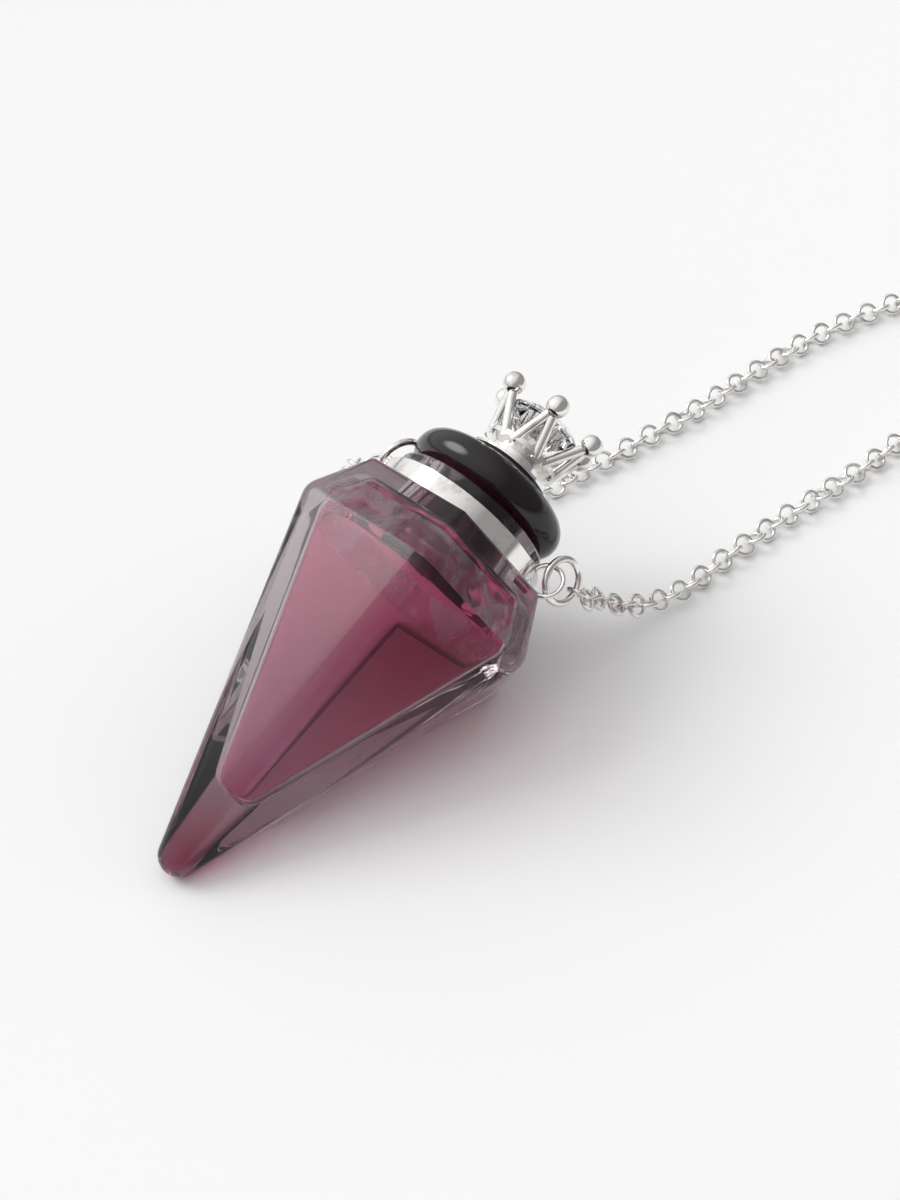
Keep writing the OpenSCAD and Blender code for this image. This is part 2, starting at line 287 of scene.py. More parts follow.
def bottle_rings(size):
    """Rings of the whole bottle: up the outside, over the rim, and down the hollow. Gives the
    number of rings up to the rim too."""
    half = size.across_flats / 2
    top = size.shoulder + size.bevel_height
    top_apothem = size.neck_radius + size.ledge
    hollow_top = top - size.wall * ROOF_SHARE
    outside = pendulum_rings(
        0, size.tip_radius, size.shoulder, half - size.edge_radius, size.edge_radius,
        top, top_apothem, size.top_edge_radius, size,
    )
    inside = pendulum_rings(
        size.solid_tip + size.hollow_end_radius, size.hollow_end_radius, size.shoulder,
        half - size.wall - size.hollow_edge_radius, size.hollow_edge_radius, hollow_top,
        top_apothem - size.wall / 2 - size.hollow_edge_radius / 2, size.hollow_edge_radius, size,
    )
    rim = top + size.neck_height
    like = outside[-1][1]
    # A point just outside the middle of the rim's bevel rounds it
    rounding = size.rim_bevel / 3
    neck = [
        (top, size.neck_radius),
        (top + size.neck_height / 2, size.neck_radius),
        (rim - size.rim_bevel, size.neck_radius),
        (rim - rounding, size.neck_radius - rounding),
        (rim, size.neck_radius - size.rim_bevel),
        (rim, size.bore_radius + size.rim_bevel),
    ]
    bore = [
        (rim, size.bore_radius),
        (between(rim, top, 0.5), size.bore_radius),
        (hollow_top, size.bore_radius),
    ]
    outer = outside + [(height, round_ring(like, radius)) for height, radius in neck]
    inner = [(height, round_ring(like, radius)) for height, radius in bore] + inside[::-1]
    return outer + inner, len(outer)


# Corners nearer to each other than this, in metres, are merged
MERGE_DISTANCE = 0.001 * MM


def finish_mesh(name, bm, materials):
    """A new object with this mesh, its doubles merged and its faces pointing outwards."""
    bmesh.ops.remove_doubles(bm, verts=bm.verts, dist=MERGE_DISTANCE)
    bmesh.ops.recalc_face_normals(bm, faces=bm.faces)
    mesh = bpy.data.meshes.new(name)
    bm.to_mesh(mesh)
    bm.free()
    for material in materials:
        mesh.materials.append(material)
    obj = bpy.data.objects.new(name, mesh)
    bpy.context.scene.collection.objects.link(obj)
    return obj


# A brilliant has eight bezels. This share below one sets its pavilion's corners a little outside
# a plain cone
BEZELS = 8
PAVILION_FALL = 0.96


def facet_corners(total, radius, height, turn=0.0):
    """Evenly spaced corners of a cut stone, as (radius, angle, height)."""
    return [(radius, 2 * math.pi / total * (k + turn), height) for k in range(total)]


def brilliant(radius, low, table, size):
    """Corners of a round brilliant, as (radius, angle, height) from the girdle's foot."""
    star = size.girdle + (table - size.girdle) * size.star_height
    lower = low * (1 - size.lower_share * PAVILION_FALL)
    return [
        *facet_corners(BEZELS, radius * size.table_share, table, turn=0.5),
        *facet_corners(BEZELS, radius * size.star_share, star),
        *facet_corners(2 * BEZELS, radius, size.girdle),
        *facet_corners(2 * BEZELS, radius, 0),
        *facet_corners(BEZELS, radius * size.lower_share, lower),
        (0, 0, low),
    ]


# Materials

WHITE = (1, 1, 1)


class NodeMaker:
    """A node tree that is built up by short calls."""

    def __init__(self, tree):
        self.tree = tree

    def add(self, kind, **values):
        """A node with these properties, or these values on its inputs. An underscore in an
        input's name stands for a space."""
        node = self.tree.nodes.new(kind)
        for key, value in values.items():
            if hasattr(node, key):
                setattr(node, key, value)
            else:
                node.inputs[key.replace("_", " ")].default_value = value
        return node

    def join(self, source, target):
        """A link from one node's output to another's input."""
        self.tree.links.new(source, target)


def new_material(name, **values):
    """A material with a Principled BSDF whose sockets hold these values. Gives a maker of its
    nodes and the BSDF too."""
    material = bpy.data.materials.new(name)
    material.use_nodes = True
    maker = NodeMaker(material.node_tree)
    surface = material.node_tree.nodes["Principled BSDF"]
    for key, value in values.items():
        surface.inputs[key.replace("_", " ")].default_value = value
    return material, maker, surface


def effect_group(name, inputs, outputs):
    """An empty node group with these sockets. Gives a maker of its nodes, its inputs and its
    outputs too."""
    group = bpy.data.node_groups.new(name, "ShaderNodeTree")
    for label, kind, value in inputs:
        socket = group.interface.new_socket(label, in_out="INPUT", socket_type=kind)
        socket.default_value = value
    for label, kind in outputs:
        group.interface.new_socket(label, in_out="OUTPUT", socket_type=kind)
    maker = NodeMaker(group)
    return group, maker, maker.add("NodeGroupInput"), maker.add("NodeGroupOutput")


def polish_group():
    """Fine wear of a polished surface: an uneven roughness, hairline scratches and dull patches."""
    group, maker, sockets, out = effect_group(
        "fine wear",
        [
            ("Scale", "NodeSocketFloat", 900.0),
            ("Low", "NodeSocketFloat", 0.05),
            ("High", "NodeSocketFloat", 0.2),
        ],
        [("Roughness", "NodeSocketFloat"), ("Height", "NodeSocketFloat"), ("Dull", "NodeSocketFloat")],
    )
    place = maker.add("ShaderNodeTexCoord")
    patches = maker.add("ShaderNodeTexNoise", Detail=4.0, Roughness=0.6)
    maker.join(place.outputs["Object"], patches.inputs["Vector"])
    maker.join(sockets.outputs["Scale"], patches.inputs["Scale"])
    stretch = maker.add("ShaderNodeMapping", Scale=(1.0, 9.0, 2.5), Rotation=(0.4, 0.7, 0.5))
    maker.join(place.outputs["Object"], stretch.inputs["Vector"])
    hairs = maker.add("ShaderNodeTexNoise", Detail=6.0, Roughness=0.75)
    maker.join(stretch.outputs["Vector"], hairs.inputs["Vector"])
    maker.join(sockets.outputs["Scale"], hairs.inputs["Scale"])
    spread = maker.add("ShaderNodeMapRange", clamp=True, From_Min=0.35, From_Max=0.7)
    maker.join(patches.outputs["Fac"], spread.inputs["Value"])
    maker.join(sockets.outputs["Low"], spread.inputs["To Min"])
    maker.join(sockets.outputs["High"], spread.inputs["To Max"])
    dull = maker.add("ShaderNodeMapRange", clamp=True, From_Min=0.5, From_Max=0.75)
    maker.join(patches.outputs["Fac"], dull.inputs["Value"])
    maker.join(spread.outputs["Result"], out.inputs["Roughness"])
    maker.join(hairs.outputs["Fac"], out.inputs["Height"])
    maker.join(dull.outputs["Result"], out.inputs["Dull"])
    return group


def axis_group():
    """Share of the way from one height to another along the bottle's axis."""
    group, maker, sockets, out = effect_group(
        "along the axis",
        [("Low", "NodeSocketFloat", 0.0), ("High", "NodeSocketFloat", 1.0)],
        [("Share", "NodeSocketFloat")],
    )
    place = maker.add("ShaderNodeTexCoord")
    along = maker.add("ShaderNodeVectorMath", operation="DOT_PRODUCT")
    along.inputs[1].default_value = AXIS
    maker.join(place.outputs["Object"], along.inputs[0])
    zone = maker.add("ShaderNodeMapRange", clamp=True)
    maker.join(along.outputs["Value"], zone.inputs["Value"])
    maker.join(sockets.outputs["Low"], zone.inputs["From Min"])
    maker.join(sockets.outputs["High"], zone.inputs["From Max"])
    maker.join(zone.outputs["Result"], out.inputs["Share"])
    return group


def ice_group():
    """Icy glass: streaks and specks of tiny bubbles."""
    group, maker, sockets, out = effect_group(
        "icy bubbles",
        [("Scale", "NodeSocketFloat", 800.0)],
        [("Mask", "NodeSocketFloat"), ("Height", "NodeSocketFloat"), ("Roughness", "NodeSocketFloat")],
    )
    place = maker.add("ShaderNodeTexCoord")
    drift = maker.add("ShaderNodeTexNoise", Scale=260.0, Detail=5.0, Distortion=1.4)
    maker.join(place.outputs["Object"], drift.inputs["Vector"])
    cells = maker.add("ShaderNodeTexVoronoi", feature="SMOOTH_F1")
    maker.join(place.outputs["Object"], cells.inputs["Vector"])
    maker.join(sockets.outputs["Scale"], cells.inputs["Scale"])
    edge = maker.add("ShaderNodeMapRange", clamp=True, From_Min=0.42, From_Max=0.62)
    maker.join(drift.outputs["Fac"], edge.inputs["Value"])
    relief = maker.add("ShaderNodeMath", operation="ADD")
    maker.join(cells.outputs["Distance"], relief.inputs[0])
    maker.join(drift.outputs["Fac"], relief.inputs[1])
    haze = maker.add("ShaderNodeMapRange", clamp=True, To_Min=0.12, To_Max=0.4)
    maker.join(edge.outputs["Result"], haze.inputs["Value"])
    maker.join(haze.outputs["Result"], out.inputs["Roughness"])
    maker.join(edge.outputs["Result"], out.inputs["Mask"])
    maker.join(relief.outputs["Value"], out.inputs["Height"])
    return group


def place_group(maker, group, **values):
    """A node group in a material, with its own values."""
    node = maker.add("ShaderNodeGroup", node_tree=group)
    for key, value in values.items():
        node.inputs[key].default_value = value
    return node


# Sockets of a Mix node that mixes colours
MIX_SHARE, MIX_FIRST, MIX_SECOND = 0, 6, 7
MIX_RESULT = 2


def mix_colours(maker, surface, part, first, second):
    """A mix of two colours as a Principled BSDF's base colour."""
    tone = maker.add("ShaderNodeMix", data_type="RGBA")
    tone.inputs[MIX_FIRST].default_value = (*first, 1)
    tone.inputs[MIX_SECOND].default_value = (*second, 1)
    maker.join(part, tone.inputs[MIX_SHARE])
    maker.join(tone.outputs[MIX_RESULT], surface.inputs["Base Color"])


def add_bump(maker, surface, height, strength, distance):
    """A bump on a Principled BSDF."""
    bump = maker.add("ShaderNodeBump", Strength=strength, Distance=distance)
    maker.join(height, bump.inputs["Height"])
    maker.join(bump.outputs["Normal"], surface.inputs["Normal"])


def silver_material(finish, wear):
    """Polished silver, a little dull and darker in patches."""
    material, maker, surface = new_material("polished silver", Metallic=1.0)
    marks = place_group(maker, wear, Scale=420.0, Low=0.06, High=0.16)
    mix_colours(maker, surface, marks.outputs["Dull"], finish.silver, finish.tarnish)
    maker.join(marks.outputs["Roughness"], surface.inputs["Roughness"])
    add_bump(maker, surface, marks.outputs["Height"], strength=0.12, distance=0.04 * MM)
    return material


def dark_glass_material(finish, wear):
    """Near-black amethyst glass, highly polished."""
    material, maker, surface = new_material("near-black glass", IOR=1.5)
    surface.inputs["Base Color"].default_value = (*finish.dark, 1)
    marks = place_group(maker, wear, Scale=300.0, Low=0.10, High=0.16)
    maker.join(marks.outputs["Roughness"], surface.inputs["Roughness"])
    add_bump(maker, surface, marks.outputs["Height"], strength=0.05, distance=0.03 * MM)
    return material


# Where the tip's blush fades, and the hollow's whole height: from and to, in millimetres over the
# tip's centre
BLUSH = (1.0, 12.0)
HOLLOW = (7.0, 29.0)


def stretch_of_axis(low, high):
    """Two heights over the tip's centre, in millimetres, as values of the group along the axis."""
    tip = AXIS.dot(TIP)
    return {"Low": (tip + low) * MM, "High": (tip + high) * MM}


def clear_glass_material(finish, wear, along):
    """The bottle's clear outer wall, with a blush of amethyst gathered in its tip."""
    material, maker, surface = new_material("clear glass wall", IOR=1.41, Transmission_Weight=1.0)
    height = place_group(maker, along, **stretch_of_axis(*BLUSH))
    mix_colours(maker, surface, height.outputs["Share"], finish.blush, finish.clear)
    marks = place_group(maker, wear, Scale=160.0, Low=0.0, High=0.03)
    maker.join(marks.outputs["Roughness"], surface.inputs["Roughness"])
    return material


def amethyst_material(finish, along):
    """The hollow's wall: amethyst, deeper towards the shoulder."""
    material, maker, surface = new_material(
        "amethyst wall", IOR=1.38, Transmission_Weight=1.0, Roughness=0.03
    )
    height = place_group(maker, along, **stretch_of_axis(*HOLLOW))
    mix_colours(maker, surface, height.outputs["Share"], finish.rose, finish.amethyst)
    return material


def icy_material(finish, ice):
    """The hollow's sloping shoulder: milky amethyst full of tiny bubbles."""
    material, maker, surface = new_material("icy amethyst wall", IOR=1.45, Transmission_Weight=0.65)
    frost = place_group(maker, ice, Scale=800.0)
    mix_colours(maker, surface, frost.outputs["Mask"], finish.deep_ice, finish.pale)
    maker.join(frost.outputs["Roughness"], surface.inputs["Roughness"])
    add_bump(maker, surface, frost.outputs["Height"], strength=0.7, distance=0.4 * MM)
    return material


def stone_material(finish):
    """Clear cut stone, a trace uneven in its colour."""
    material, maker, surface = new_material("clear stone", IOR=2.0, Transmission_Weight=1.0, Roughness=0.0)
    place = maker.add("ShaderNodeTexCoord")
    haze = maker.add("ShaderNodeTexNoise", Scale=900.0, Detail=2.0)
    maker.join(place.outputs["Object"], haze.inputs["Vector"])
    mix_colours(maker, surface, haze.outputs["Fac"], finish.stone, WHITE)
    return material


def give(node_name, material):
    """A CAD node takes this finish."""
    node = frame["nodes"][node_name]
    node.data.materials.clear()
    node.data.materials.append(material)


# Chain

RIGHT_ROUTE = [
    (26.4, -10.7, 6.7), (28.4, -11.2, 4.6), (31, -11.7, 2.9), (33.9, -12.1, 1.8), (37, -12.3, 1.1),
    (40.2, -12.4), (43.5, -12.6), (46.5, -13), (49.6, -13.3), (52.5, -13.8), (55.6, -14.3),
    (58.4, -14.7), (61.4, -15.1), (64.3, -15.3), (69.4, -15.7), (74, -17.6), (76.6, -21.6),
    (76.8, -26.6), (76, -32),
]
LEFT_ROUTE = [
    (20.7, 13.7, 12.8), (21.6, 15.4, 9.5), (23.4, 16.1, 6), (26, 15.7, 3.2), (28.9, 14.3, 1.5),
    (31.9, 12.3), (35.4, 9.5), (38.7, 6.7), (41.9, 6), (44.8, 5.3), (46.9, 4.7), (49.9, 4.3),
    (55.6, 3.1), (60.8, 2.5), (65.8, 1.9), (71.7, 1), (77.2, -0.4), (82.5, -2.3), (88, -4),
    (94, -5.3), (100, -5.3),
]
# The way that each run leaves its jump ring, in the ring's plane
PULLS = {"chain_right": Vector((0.485, -0.328, -0.81)), "chain_left": Vector((-0.6, 0.364, -0.664))}
# The hidden round stretch: its centre, where each run joins it, the clasp's place on it, and the
# steps that each run takes round it
HIDDEN_CENTRE = Vector((124, -50, 0))
HIDDEN_STARTS = {"chain_right": math.radians(164), "chain_left": math.radians(110)}
CLASP_ANGLE = math.radians(-44)
HIDDEN_STEPS = 20
# Seed of the links' random play
CHAIN_SEED = 3


def chain_path(node, sizes):
    """The route of one run of chain, from its jump ring to the clasp, in millimetres."""
    right = node == "chain_right"
    ring = from_frame("jump_ring_right" if right else "jump_ring_left")[1]
    start = sizes.jump_radius + sizes.first_link
    points = [ring + PULLS[node] * reach for reach in (start, start + sizes.lead)]
    # A point with two coordinates lies on the surface
    points += [Vector((*p, sizes.lie)[:3]) for p in (RIGHT_ROUTE if right else LEFT_ROUTE)]
    if right:
        end = CLASP_ANGLE - sizes.clasp_half_angle + 2 * math.pi
    else:
        end = CLASP_ANGLE + sizes.clasp_half_angle
    for i in range(HIDDEN_STEPS + 1):
        angle = between(HIDDEN_STARTS[node], end, i / HIDDEN_STEPS)
        reach = Vector((math.cos(angle), math.sin(angle), 0)) * sizes.hidden_radius
        points.append(HIDDEN_CENTRE + reach + Vector((0, 0, sizes.lie)))
    return points


def spaced_points(maker, source):
    """Points one pitch apart on the smoothed route. Gives their geometry and their heading."""
    smooth = maker.add("GeometryNodeCurveSplineType", spline_type="CATMULL_ROM")
    spaced = maker.add("GeometryNodeResampleCurve")
    spaced.mode = "LENGTH"
    tangent = maker.add("GeometryNodeInputTangent")
    held = maker.add("GeometryNodeCaptureAttribute", domain="POINT")
    held.capture_items.new("VECTOR", "Heading")
    maker.join(source.outputs["Geometry"], smooth.inputs["Curve"])
    maker.join(smooth.outputs["Curve"], spaced.inputs["Curve"])
    maker.join(source.outputs["Pitch"], spaced.inputs["Length"])
    maker.join(spaced.outputs["Curve"], held.inputs["Geometry"])
    maker.join(tangent.outputs["Tangent"], held.inputs["Heading"])
    return held.outputs["Geometry"], held.outputs["Heading"]


def round_link(maker, source):
    """One link: a ring of round wire."""
    ring = maker.add("GeometryNodeCurvePrimitiveCircle")
    wire = maker.add("GeometryNodeCurvePrimitiveCircle")
    link = maker.add("GeometryNodeCurveToMesh")
    for circle, label in ((ring, "Ring"), (wire, "Wire")):
        maker.join(source.outputs[f"{label} Radius"], circle.inputs["Radius"])
        maker.join(source.outputs[f"{label} Sides"], circle.inputs["Resolution"])
    maker.join(ring.outputs["Curve"], link.inputs["Curve"])
    maker.join(wire.outputs["Curve"], link.inputs["Profile Curve"])
    return link.outputs["Mesh"]


# Sockets of a Random Value node that gives a number
RANDOM_LOW, RANDOM_HIGH = 2, 3
RANDOM_VALUE = 1


def lean_angle(maker, source):
    """How far a link leans: one way or the other by turns, give or take its play."""
    index = maker.add("GeometryNodeInputIndex")
    second = maker.add("ShaderNodeMath", operation="MODULO")
    second.inputs[1].default_value = 2.0
    maker.join(index.outputs["Index"], second.inputs[0])
    # From 0 or 1 to -1 or 1
    way = maker.add("ShaderNodeMath", operation="MULTIPLY_ADD")
    way.inputs[1].default_value = 2.0
    way.inputs[2].default_value = -1.0
    maker.join(second.outputs["Value"], way.inputs[0])
    lean = maker.add("ShaderNodeMath", operation="MULTIPLY")
    maker.join(way.outputs["Value"], lean.inputs[0])
    maker.join(source.outputs["Lean"], lean.inputs[1])
    least = maker.add("ShaderNodeMath", operation="MULTIPLY")
    least.inputs[1].default_value = -1.0
    maker.join(source.outputs["Play"], least.inputs[0])
    play = maker.add("FunctionNodeRandomValue", data_type="FLOAT")
    maker.join(least.outputs["Value"], play.inputs[RANDOM_LOW])
    maker.join(source.outputs["Play"], play.inputs[RANDOM_HIGH])
    maker.join(source.outputs["Seed"], play.inputs["Seed"])
    total = maker.add("ShaderNodeMath", operation="ADD")
    maker.join(lean.outputs["Value"], total.inputs[0])
    maker.join(play.outputs[RANDOM_VALUE], total.inputs[1])
    return total.outputs["Value"]


def link_turn(maker, heading, lean):
    """A link's turn: along the chain's heading, and then leaning about it."""
    along = maker.add("FunctionNodeAxesToRotation", primary_axis="X", secondary_axis="Z")
    along.inputs["Secondary Axis"].default_value = (0, 0, 1)
    maker.join(heading, along.inputs["Primary Axis"])
    euler = maker.add("ShaderNodeCombineXYZ")
    leaning = maker.add("FunctionNodeEulerToRotation")
    maker.join(lean, euler.inputs["X"])
    maker.join(euler.outputs["Vector"], leaning.inputs["Euler"])
    both = maker.add("FunctionNodeRotateRotation", rotation_space="LOCAL")
    maker.join(along.outputs["Rotation"], both.inputs["Rotation"])
    maker.join(leaning.outputs["Rotation"], both.inputs["Rotate By"])
    return both.outputs["Rotation"]


def chain_tree(material, values):
    """Geometry Nodes that hang links along a curve, each leaning the other way from the last. Gives
    the tree and its named inputs."""
    tree = bpy.data.node_groups.new("cable chain", "GeometryNodeTree")
    tree.interface.new_socket("Geometry", in_out="INPUT", socket_type="NodeSocketGeometry")
    tree.interface.new_socket("Geometry", in_out="OUTPUT", socket_type="NodeSocketGeometry")
    inputs = {}
    for label, value in values.items():
        kind = "NodeSocketInt" if isinstance(value, int) else "NodeSocketFloat"
        inputs[label] = tree.interface.new_socket(label, in_out="INPUT", socket_type=kind)
        inputs[label].default_value = value
    maker = NodeMaker(tree)
    source = maker.add("NodeGroupInput")
    out = maker.add("NodeGroupOutput")
    points, heading = spaced_points(maker, source)
    place = maker.add("GeometryNodeInstanceOnPoints")
    maker.join(points, place.inputs["Points"])
    maker.join(round_link(maker, source), place.inputs["Instance"])
    maker.join(link_turn(maker, heading, lean_angle(maker, source)), place.inputs["Rotation"])
    real = maker.add("GeometryNodeRealizeInstances")
    shade = maker.add("GeometryNodeSetShadeSmooth")
    paint = maker.add("GeometryNodeSetMaterial")
    paint.inputs["Material"].default_value = material
    maker.join(place.outputs["Instances"], real.inputs["Geometry"])
    maker.join(real.outputs["Geometry"], shade.inputs["Geometry"])
    maker.join(shade.outputs["Geometry"], paint.inputs["Geometry"])
    maker.join(paint.outputs["Geometry"], out.inputs["Geometry"])
    return tree, inputs


def run_of_chain(name, points, tree, inputs, values):
    """One run of links along its route, as a plain mesh."""
    curve = bpy.data.curves.new(name + "_route", "CURVE")
    curve.dimensions = "3D"
    spline = curve.splines.new("POLY")
    spline.points.add(len(points) - 1)
    for point, place in zip(spline.points, points):
        point.co = (*(place * MM), 1)
    route = bpy.data.objects.new(name + "_route", curve)
    bpy.context.scene.collection.objects.link(route)
    modifier = route.modifiers.new("links", "NODES")
    modifier.node_group = tree
    for label, value in values.items():
        modifier[inputs[label].identifier] = value
    ready = route.evaluated_get(bpy.context.evaluated_depsgraph_get())
    mesh = bpy.data.meshes.new_from_object(ready)
    mesh.name = name
    obj = bpy.data.objects.new(name, mesh)
    bpy.context.scene.collection.objects.link(obj)
    bpy.data.objects.remove(route)
    return obj


# Operators


# Height of the picture that the lens is given for, in millimetres, and the nearest and farthest
# that the camera sees, in metres
PICTURE_HEIGHT = 36
CLIP_START, CLIP_END = 0.005, 20

# Cosines of the angle from the window's middle, between which the room and the glow brighten
ROOM_EDGES = (0.05, 0.8)
GLOW_EDGES = (0.92, 0.985)

# The pool of light painted on the surface fades from its rim to painted shade at this many times its radius
PAINTED_POOL_FADE = 2.2

# Each lamp's way from the pendant, its width in metres and its share of the power. All stand at
# one distance, in metres, and reflections don't show them
WINDOW = Vector((-0.35, 0.85, 0.9)).normalized()
LAMPS = {
    "window": (WINDOW, 0.5, 0.1),
    "side": (Vector((1.0, -0.6, 0.9)), 0.6, 2.0),
    "over": (Vector((-0.2, -0.3, 1.4)), 0.7, 1.8),
}
LAMP_DISTANCE = 0.6
LAMP_ASPECT = 0.7


class PENDANT_OT_stage(bpy.types.Operator):
    """Camera at the picture's angle, a pale surface with a pool of light and shade painted on it, and soft
    studio light
    """

    bl_idname = "pendant.stage"
    bl_label = "Stage"

    def execute(self, context):
        stage = settings(context).stage
        target = Vector((stage.target_x, stage.target_y, 0)) * MM
        self.camera(context, stage, target)
        self.floor(context, stage)
        self.room(context, stage)
        self.lamps(context, stage, target)
        context.scene.view_settings.view_transform = "Standard"
        return {"FINISHED"}

    def camera(self, context, stage, target):
        """The camera, rolled a little about the way that it looks."""
        level = Vector((math.cos(stage.heading), math.sin(stage.heading), 0))
        look = level * math.cos(stage.elevation) - Vector((0, 0, 1)) * math.sin(stage.elevation)
        right = look.cross(Vector((0, 0, 1))).normalized()
        over = right.cross(look)
        turned_over = over * math.cos(stage.roll) + right * math.sin(stage.roll)
        turned_right = right * math.cos(stage.roll) - over * math.sin(stage.roll)
        place = Matrix((turned_right, turned_over, -look)).transposed().to_4x4()
        place.translation = target - look * stage.distance * MM
        lens = bpy.data.cameras.new("camera")
        lens.sensor_fit = "VERTICAL"
        lens.sensor_height = PICTURE_HEIGHT
        lens.lens = stage.focal_length
        lens.clip_start = CLIP_START
        lens.clip_end = CLIP_END
        camera = bpy.data.objects.new("camera", lens)
        camera.matrix_world = place
        context.scene.collection.objects.link(camera)
        context.scene.camera = camera

    def floor(self, context, stage):
        """The pale surface, painted with a pool of light round the pendant and painted shade far from it."""
        bm = bmesh.new()
        bmesh.ops.create_grid(bm, x_segments=1, y_segments=1, size=stage.floor_size / 2 * MM)
        mesh = bpy.data.meshes.new("surface")
        bm.to_mesh(mesh)
        bm.free()
        material, maker, surface = new_material("pale surface", Roughness=0.6, Specular_IOR_Level=0.3)
        # Painted light and shade: the floor colour in the pool round the pendant, fading to the painted
        # shade colour far from it
        place = maker.add("ShaderNodeTexCoord")
        reach = maker.add("ShaderNodeVectorMath", operation="DISTANCE")
        reach.inputs[1].default_value = Vector((stage.painted_pool_x, stage.painted_pool_y, 0)) * MM
        maker.join(place.outputs["Object"], reach.inputs[0])
        fade = maker.add("ShaderNodeMapRange", interpolation_type="SMOOTHSTEP")
        fade.inputs["From Min"].default_value = stage.painted_pool_radius * MM
        fade.inputs["From Max"].default_value = stage.painted_pool_radius * PAINTED_POOL_FADE * MM
        maker.join(reach.outputs["Value"], fade.inputs["Value"])
        finish = settings(context).finishes
        mix_colours(maker, surface, fade.outputs["Result"], finish.floor, finish.painted_shade_floor)
        mesh.materials.append(material)
        obj = bpy.data.objects.new("surface", mesh)
        context.scene.collection.objects.link(obj)

    def room(self, context, stage):
        """A soft room that brightens towards its window, with a glow at the window's middle."""
        world = bpy.data.worlds.new("soft room")
        world.use_nodes = True
        maker = NodeMaker(world.node_tree)
        back = world.node_tree.nodes["Background"]
        place = maker.add("ShaderNodeTexCoord")
        towards = maker.add("ShaderNodeVectorMath", operation="DOT_PRODUCT")
        towards.inputs[1].default_value = WINDOW
        maker.join(place.outputs["Generated"], towards.inputs[0])
        ramp = maker.add("ShaderNodeValToRGB")
        for element, edge, tone in zip(ramp.color_ramp.elements, ROOM_EDGES, (stage.room, WHITE)):
            element.position = edge
            element.color = (*tone, 1)
        maker.join(towards.outputs["Value"], ramp.inputs["Fac"])
        maker.join(ramp.outputs["Color"], back.inputs["Color"])
        glow = maker.add("ShaderNodeMapRange", interpolation_type="SMOOTHSTEP")
        for end, edge, light in zip(("Min", "Max"), GLOW_EDGES, (stage.sky, stage.glow)):
            glow.inputs["From " + end].default_value = edge
            glow.inputs["To " + end].default_value = light
        maker.join(towards.outputs["Value"], glow.inputs["Value"])
        maker.join(glow.outputs["Result"], back.inputs["Strength"])
        context.scene.world = world

    def lamps(self, context, stage, target):
        """A faint lamp at the window, and broad ones from the side and from above."""
        for name, (way, width, part) in LAMPS.items():
            lamp = bpy.data.lights.new(name, "AREA")
            lamp.shape = "RECTANGLE"
            lamp.size = width
            lamp.size_y = width * LAMP_ASPECT
            lamp.energy = stage.lamp_power * part
            obj = bpy.data.objects.new(name, lamp)
            direction = way.normalized()
            obj.location = target + direction * LAMP_DISTANCE
            obj.rotation_euler = direction.to_track_quat("Z", "Y").to_euler()
            obj.visible_glossy = False
            context.scene.collection.objects.link(obj)


# Slots of the bottle's finishes, and where the icy one starts over the shoulder line, as a share of
# the radius of the hollow's edge
BOTTLE_FINISHES = ("clear glass wall", "amethyst wall", "icy amethyst wall")
CLEAR, AMETHYST, ICY = range(len(BOTTLE_FINISHES))
ICY_START = 0.3

# Edges with a wider turn than this stay sharp, and large faces count most in the other normals, so
# that the flats look flat
SHARP_ANGLE = math.radians(50)
LARGE_FACES = 100


def hollow_finish(low, high, size):
    """Slot of a band of the hollow's wall: icy on the shoulder's slope, amethyst elsewhere."""
    start = size.shoulder + size.hollow_edge_radius * ICY_START
    return ICY if start < (low + high) / 2 < start + size.icy_height else AMETHYST


class PENDANT_OT_bottle(bpy.types.Operator):
    """Hollow glass bottle: a clear outer wall round an amethyst hollow"""

    bl_idname = "pendant.bottle"
    bl_label = "Bottle"

    def execute(self, context):
        size = settings(context).bottle
        rings, rim = bottle_rings(size)
        bm = bmesh.new()
        rows = [[bm.verts.new(in_place(height, p.x, p.y)) for p in ring] for height, ring in rings]
        corners = len(rows[0])
        for i, (low, high) in enumerate(zip(rows, rows[1:])):
            # The rim's top and the first band of the bore are clear, as the outside is
            finish = CLEAR if i <= rim else hollow_finish(rings[i][0], rings[i + 1][0], size)
            for k in range(corners):
                following = (k + 1) % corners
                face = bm.faces.new((low[k], low[following], high[following], high[k]))
                face.material_index = finish
                face.smooth = True
        obj = finish_mesh("bottle_glass", bm, [bpy.data.materials[name] for name in BOTTLE_FINISHES])
        obj.data.set_sharp_from_angle(angle=SHARP_ANGLE)
        flats = obj.modifiers.new("flats", "WEIGHTED_NORMAL")
        flats.keep_sharp = True
        flats.weight = LARGE_FACES
        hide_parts("glass_bottle")
        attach(obj, "bottle")
        return {"FINISHED"}


# The CAD stone's corners beyond this share of its widest radius are its girdle's, and facets of the
# cut stone that turn less than this angle are one
GIRDLE_SHARE = 0.99
FLAT_ANGLE = math.radians(0.5)


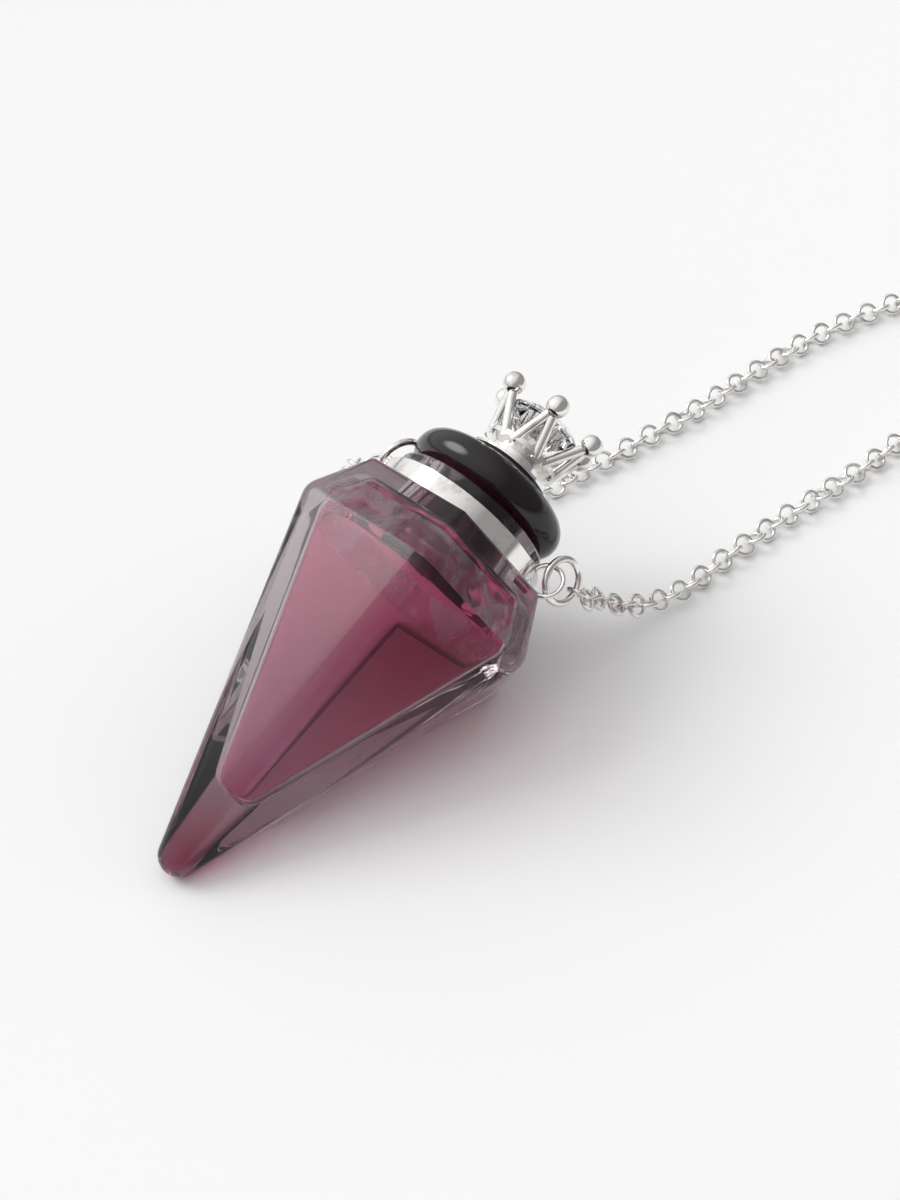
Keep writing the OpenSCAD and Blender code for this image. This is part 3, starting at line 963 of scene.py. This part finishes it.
class PENDANT_OT_stone(bpy.types.Operator):
    """Round brilliant in the crown"""

    bl_idname = "pendant.stone"
    bl_label = "Stone"

    def execute(self, context):
        size = settings(context).stone
        corners = [vertex.co for vertex in frame["nodes"]["crown_stone"].data.vertices]
        along = [AXIS.dot(corner) / MM - AXIS.dot(TIP) for corner in corners]
        out = [(corner / MM - TIP - AXIS * height).length for corner, height in zip(corners, along)]
        radius = max(out)
        girdle = min(height for height, r in zip(along, out) if r > radius * GIRDLE_SHARE)
        bm = bmesh.new()
        for r, angle, height in brilliant(radius, min(along) - girdle, max(along) - girdle, size):
            bm.verts.new(in_place(girdle + height, r * math.cos(angle), r * math.sin(angle)))
        bmesh.ops.convex_hull(bm, input=bm.verts)
        bmesh.ops.dissolve_limit(bm, angle_limit=FLAT_ANGLE, verts=bm.verts, edges=bm.edges)
        obj = finish_mesh("crown_brilliant", bm, [bpy.data.materials["clear stone"]])
        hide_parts("crown_stone")
        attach(obj, "stopper")
        return {"FINISHED"}


class PENDANT_OT_chains(bpy.types.Operator):
    """Two runs of round-link cable chain, from the jump rings to the clasp"""

    bl_idname = "pendant.chains"
    bl_label = "Chains"

    def execute(self, context):
        sizes = settings(context).chain
        values = {
            "Pitch": sizes.pitch * MM,
            "Ring Radius": sizes.link_radius * MM,
            "Wire Radius": sizes.wire / 2 * MM,
            "Lean": sizes.lean,
            "Play": sizes.play,
            "Ring Sides": sizes.ring_sides,
            "Wire Sides": sizes.wire_sides,
            "Seed": CHAIN_SEED,
        }
        tree, inputs = chain_tree(bpy.data.materials["polished silver"], values)
        for node in ("chain_right", "chain_left"):
            obj = run_of_chain(node + "_links", chain_path(node, sizes), tree, inputs, values)
            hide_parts(node)
            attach(obj, "bottle")
        return {"FINISHED"}


class PENDANT_OT_finishes(bpy.types.Operator):
    """Silver, dark glass and clear glass, and the finishes of the pieces that come from the frame"""

    bl_idname = "pendant.finishes"
    bl_label = "Finishes"

    def execute(self, context):
        finish = settings(context).finishes
        wear = polish_group()
        along = axis_group()
        silver = silver_material(finish, wear)
        dark = dark_glass_material(finish, wear)
        clear_glass_material(finish, wear, along)
        amethyst_material(finish, along)
        icy_material(finish, ice_group())
        stone_material(finish)
        for node in ("neck_collar", "jump_ring_right", "jump_ring_left", "chain_clasp", "crown"):
            give(node, silver)
        for node in ("stopper_disc", "stopper_plug"):
            give(node, dark)
        return {"FINISHED"}


class PENDANT_PT_panel(bpy.types.Panel):
    """The pendant's pieces and sizes"""

    bl_label = "Bottle pendant"
    bl_space_type = "VIEW_3D"
    bl_region_type = "UI"
    bl_category = "Pendant"

    def draw(self, context):
        for operator in OPERATORS:
            self.layout.operator(operator.bl_idname)
        for part in PendantSettings.__annotations__:
            box = self.layout.box()
            group = getattr(settings(context), part)
            for name in group.__annotations__:
                box.prop(group, name)


OPERATORS = (PENDANT_OT_stage, PENDANT_OT_finishes, PENDANT_OT_bottle, PENDANT_OT_stone, PENDANT_OT_chains)
CLASSES = (
    BottleSizes, StoneSizes, ChainSizes, Finishes, StageSettings, PendantSettings,
    *OPERATORS, PENDANT_PT_panel,
)


def register():
    """Adds the classes and the scene's settings."""
    for cls in CLASSES:
        bpy.utils.register_class(cls)
    bpy.types.Scene.pendant = PointerProperty(type=PendantSettings)


def unregister():
    """Takes the classes and the scene's settings away."""
    del bpy.types.Scene.pendant
    for cls in reversed(CLASSES):
        bpy.utils.unregister_class(cls)


def main():
    """Builds the scene."""
    register()
    for operator in OPERATORS:
        getattr(bpy.ops.pendant, operator.bl_idname.split(".")[1])()


if __name__ == "__main__":
    main()
